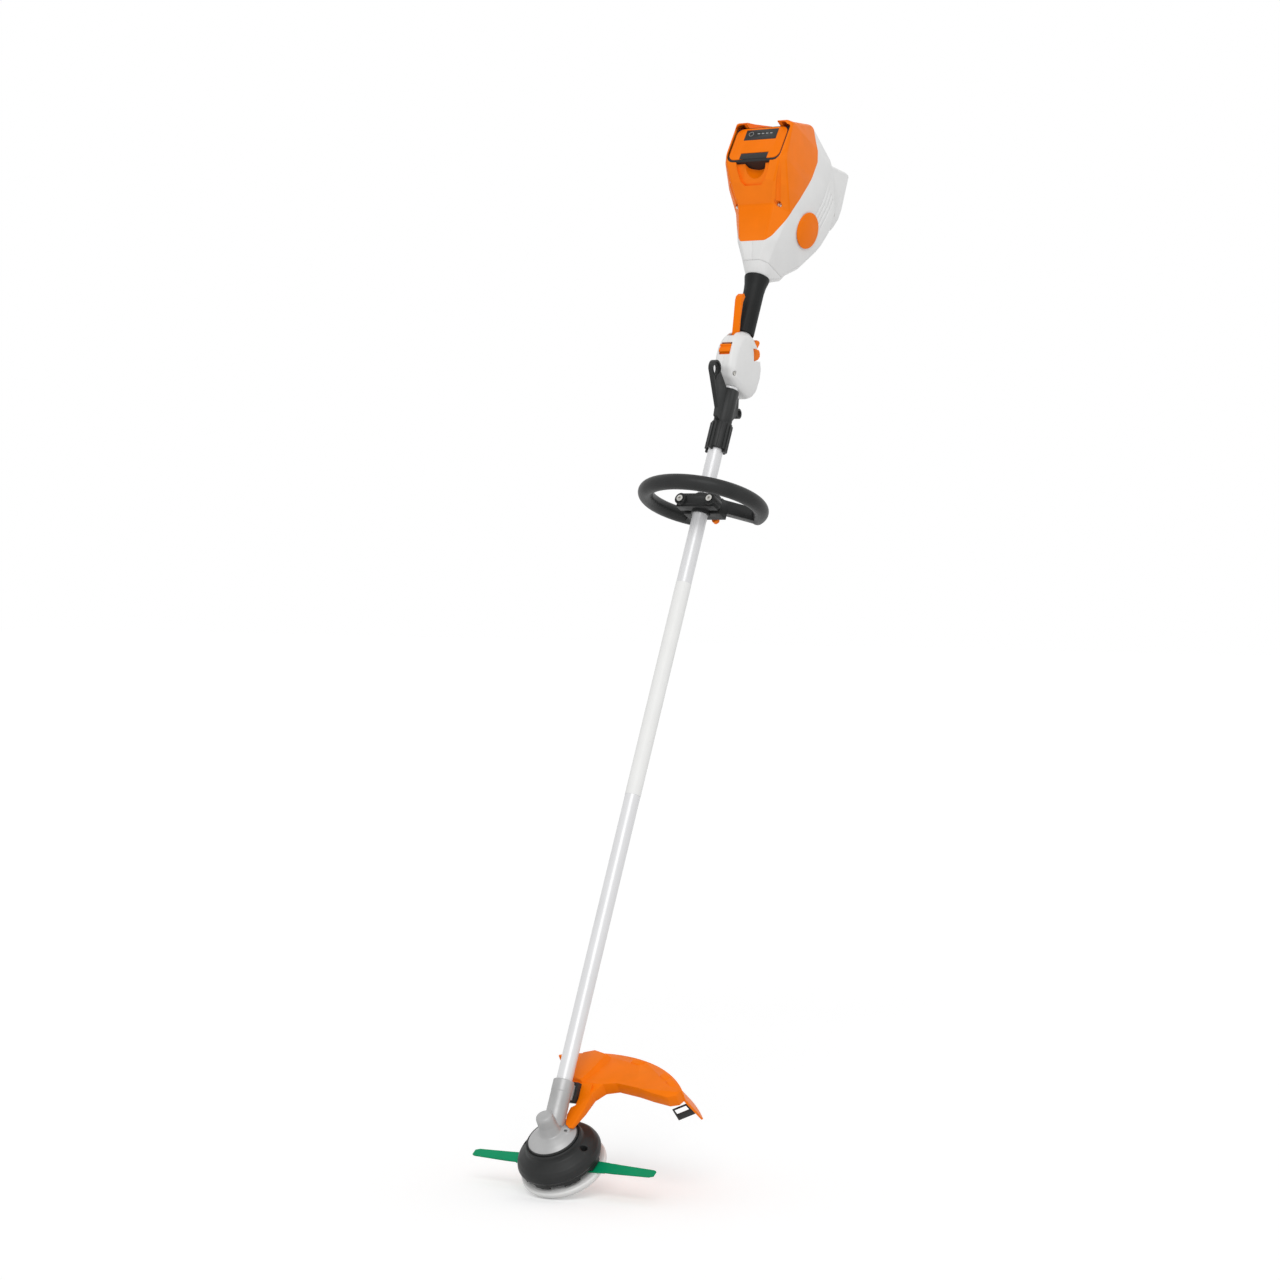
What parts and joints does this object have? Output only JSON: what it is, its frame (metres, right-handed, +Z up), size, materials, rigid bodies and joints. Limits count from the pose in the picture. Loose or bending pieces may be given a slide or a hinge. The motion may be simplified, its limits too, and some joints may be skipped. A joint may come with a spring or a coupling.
{
  "type": "brush cutter",
  "caption": "Battery brush cutter: long drive tube with an angled gearbox and swinging blades, a skirted deflector, a loop handle, trigger controls and a slide-in battery head.",
  "frame": {"origin": "centre of the harness eye in the carrier fin, from which the tool hangs", "axes": "+Z up along the tool's length as it leans at its working rest, +X to the side that the strap eye's hole runs along, +Y completes the right-handed frame: the power head's end leans towards it"},
  "size_m": [0.3686, 0.9124, 1.7267],
  "materials": {
    "painted_tube": "satin light grey paint",
    "label_foil": "plain pale foil",
    "bush_plastic": "plain nylon",
    "cast_alloy": "die-cast, lightly painted",
    "bright_steel": "machined",
    "zinc_screws": "zinc plated",
    "orange_plastic": "fine-grained moulded",
    "white_plastic": "fine-grained moulded",
    "dark_plastic": "grained moulded",
    "grip_rubber": "soft overmould",
    "glide_plastic": "smooth, scuffed",
    "blade_plastic": "green moulded nylon blades",
    "board_resin": "lacquered board",
    "potting": "filled resin",
    "copper_steel": "lacquered laminations and windings",
    "contact_brass": "plated contacts",
    "cable_rubber": "smooth sheath",
    "cell_wrap": "shrink sleeve"
  },
  "bodies": {
    "frame": {"drive_tube": "painted_tube", "tube_label": "label_foil", "tube_bushes": "bush_plastic", "gear_housing": "cast_alloy", "wrap_guard_ring": "dark_plastic", "gear_bearings": "bright_steel", "gear_screws": "zinc_screws", "deflector": "orange_plastic", "deflector_bracket": "dark_plastic", "deflector_screws": "zinc_screws", "line_cutter": "dark_plastic", "coupling_sleeve": "dark_plastic", "harness_carrier": "dark_plastic", "rear_grip": "grip_rubber", "control_housing_left": "white_plastic", "control_housing_right": "white_plastic", "control_board": "board_resin", "lever_pins": "bright_steel", "motor_housing_left": "white_plastic", "motor_housing_right": "white_plastic", "top_cover": "orange_plastic", "neck_collar": "white_plastic", "case_screws": "zinc_screws", "side_badge": "orange_plastic", "rest_foot": "white_plastic", "motor_stator": "copper_steel", "motor_bearings": "bright_steel", "control_electronics": "potting", "battery_cradle": "dark_plastic", "battery_terminals": "contact_brass", "power_cable": "cable_rubber"},
    "drive_line": {"motor_rotor": "copper_steel", "motor_shaft": "bright_steel", "cooling_fan": "dark_plastic", "drive_shaft": "bright_steel", "bevel_pinion": "bright_steel"},
    "cutting_head": {"spindle_shaft": "bright_steel", "bevel_gear": "bright_steel", "thrust_plate": "bright_steel", "head_body": "dark_plastic", "glide_plate": "glide_plastic", "blade_pins": "bright_steel", "head_nut": "zinc_screws"},
    "left_blade": {"blade_left": "blade_plastic"},
    "right_blade": {"blade_right": "blade_plastic"},
    "throttle_trigger": {"trigger": "orange_plastic"},
    "trigger_latch": {"latch_lever": "orange_plastic"},
    "lockout": {"lockout_lever": "orange_plastic"},
    "speed_slider": {"mode_slider": "orange_plastic"},
    "battery": {"battery_case": "orange_plastic", "battery_panel": "dark_plastic", "battery_cells": "cell_wrap"},
    "charge_button": {"battery_button": "dark_plastic"},
    "pack_latch": {"battery_latch": "dark_plastic"},
    "loop": {"loop_handle": "dark_plastic", "handle_clamp": "dark_plastic", "clamp_screws": "zinc_screws"},
    "knob": {"clamp_knob": "orange_plastic"}
  },
  "joints": [
    {"name": "drive_spin", "type": "hinge", "parent": "frame", "child": "drive_line", "pos_m": [0, -0.36607, -0.92937], "axis": [0, 0.4226, 0.9063], "continuous": true},
    {"name": "head_spin", "type": "hinge", "parent": "frame", "child": "cutting_head", "pos_m": [0, -0.49285, -1.20126], "axis": [0, -0.5446, 0.8387], "continuous": true},
    {"name": "left_blade_swing", "type": "hinge", "parent": "cutting_head", "child": "left_blade", "pos_m": [0.052, -0.46017, -1.25158], "axis": [0, -0.5446, 0.8387], "range_deg": [-80, 80]},
    {"name": "right_blade_swing", "type": "hinge", "parent": "cutting_head", "child": "right_blade", "pos_m": [-0.052, -0.46017, -1.25158], "axis": [0, -0.5446, 0.8387], "range_deg": [-80, 80]},
    {"name": "trigger_press", "type": "slide", "parent": "frame", "child": "throttle_trigger", "axis": [0, -1, 0], "range_m": [0, 0.004], "stiffness_N_per_m": 900, "springref_m": -0.003},
    {"name": "latch_press", "type": "hinge", "parent": "frame", "child": "trigger_latch", "pos_m": [0, 0.11157, 0.04287], "axis": [1, 0, 0], "range_deg": [0, 8], "stiffness_Nm_per_rad": 0.12, "springref_deg": -20.05},
    {"name": "lockout_press", "type": "hinge", "parent": "frame", "child": "lockout", "pos_m": [0, 0.06795, 0.05107], "axis": [1, 0, 0], "range_deg": [-7, 0], "stiffness_Nm_per_rad": 0.25, "springref_deg": 17.19},
    {"name": "speed_slide", "type": "slide", "parent": "frame", "child": "speed_slider", "axis": [0, 0.4226, 0.9063], "range_m": [-0.003, 0.003]},
    {"name": "battery_slide", "type": "slide", "parent": "frame", "child": "battery", "axis": [0, -0.8271, 0.5621], "range_m": [0, 0.155]},
    {"name": "charge_button_press", "type": "slide", "parent": "battery", "child": "charge_button", "axis": [0, 0.8271, -0.5621], "range_m": [0, 0.0012], "stiffness_N_per_m": 800, "springref_m": -0.001},
    {"name": "pack_latch_press", "type": "hinge", "parent": "battery", "child": "pack_latch", "pos_m": [0, 0.13366, 0.36465], "axis": [1, 0, 0], "range_deg": [-12, 0], "stiffness_Nm_per_rad": 0.3, "springref_deg": 17.19},
    {"name": "loop_slide", "type": "slide", "parent": "frame", "child": "loop", "axis": [0, 0.4226, 0.9063], "range_m": [-0.1, 0.05]},
    {"name": "knob_turn", "type": "hinge", "parent": "loop", "child": "knob", "pos_m": [0, -0.01177, -0.24056], "axis": [0, 0.9063, -0.4226], "continuous": true}
  ],
  "couplings": [
    {"joint": "drive_spin", "follows": "head_spin", "ratio": -1.3333}
  ]
}
